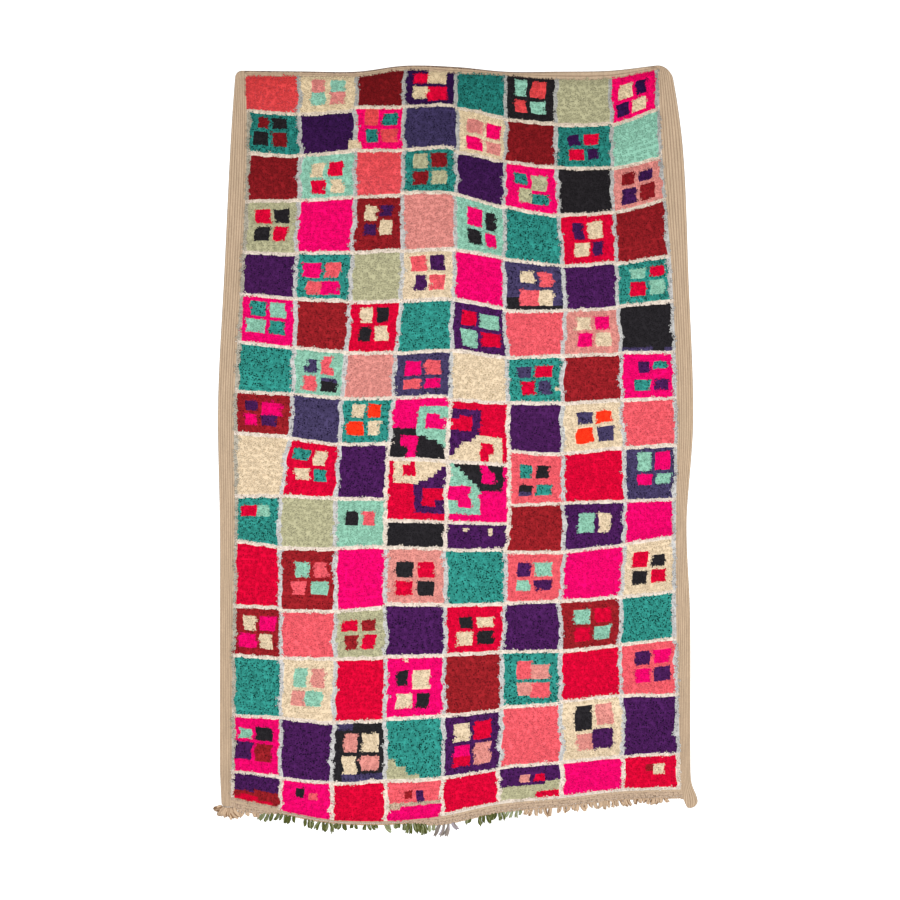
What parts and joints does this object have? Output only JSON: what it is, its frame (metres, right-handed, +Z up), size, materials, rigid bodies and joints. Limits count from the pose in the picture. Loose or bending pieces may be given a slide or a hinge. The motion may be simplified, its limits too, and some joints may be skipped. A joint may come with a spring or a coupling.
{
  "type": "azilal rug",
  "caption": "Flat hand-knotted wool rug of coloured squares with ribbed side bands, a hemmed top end and a fringe of short locks along its lower end.",
  "frame": {"origin": "on the surface it lies on, under the middle of the whole rug, fringe included", "axes": "+X across the rug to its right edge, +Y towards its hemmed end, +Z up through the pile"},
  "size_m": [1.5444, 2.4664, 0.02],
  "materials": {
    "knotted_wool": "soft knotted wool pile in coral, red, magenta, maroon, purple, teal, sage, mint, cream and black, on a beige woven ground",
    "fringe_wool": "undyed beige braid with twisted wool locks in tan, olive green and lilac grey"
  },
  "bodies": {
    "root": {"rug_cloth": "knotted_wool", "end_fringe": "fringe_wool"}
  },
  "joints": []
}
